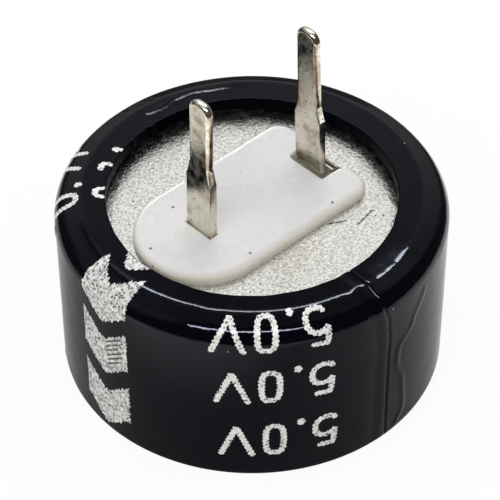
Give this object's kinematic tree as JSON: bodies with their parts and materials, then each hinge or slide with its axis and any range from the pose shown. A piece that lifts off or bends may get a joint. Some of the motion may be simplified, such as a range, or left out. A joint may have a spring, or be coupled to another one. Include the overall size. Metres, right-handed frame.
{
  "type": "supercapacitor",
  "caption": "Coin-stack supercapacitor in a black shrink sleeve, with a grainy metal end face, a white insulator plate and flat board terminals.",
  "frame": {"origin": "centre of the closed end, on the surface that it stands on", "axes": "+Z along the case's axis, the way the terminals point; +X from the positive to the negative terminal"},
  "size_m": [0.0136, 0.0134, 0.0126],
  "materials": {
    "sleeve_film": "glossy black shrink film",
    "case_steel": "nickel-plated drawn steel",
    "tinned_sheet": "tin-plated steel sheet, grainy satin",
    "white_resin": "white moulded resin, satin gloss",
    "insulating_film": "matt insulating film",
    "cell_rubber": "black vulcanised rubber"
  },
  "bodies": {
    "root": {"sleeve": "sleeve_film", "case": "case_steel", "liner": "insulating_film", "insulating_washer": "insulating_film", "contact_plate": "tinned_sheet", "end_plate": "tinned_sheet", "base_insulator": "white_resin", "cell_1": "cell_rubber", "cell_2": "cell_rubber", "cell_3": "cell_rubber", "cell_4": "cell_rubber", "cell_5": "cell_rubber", "cell_6": "cell_rubber"}
  },
  "joints": []
}
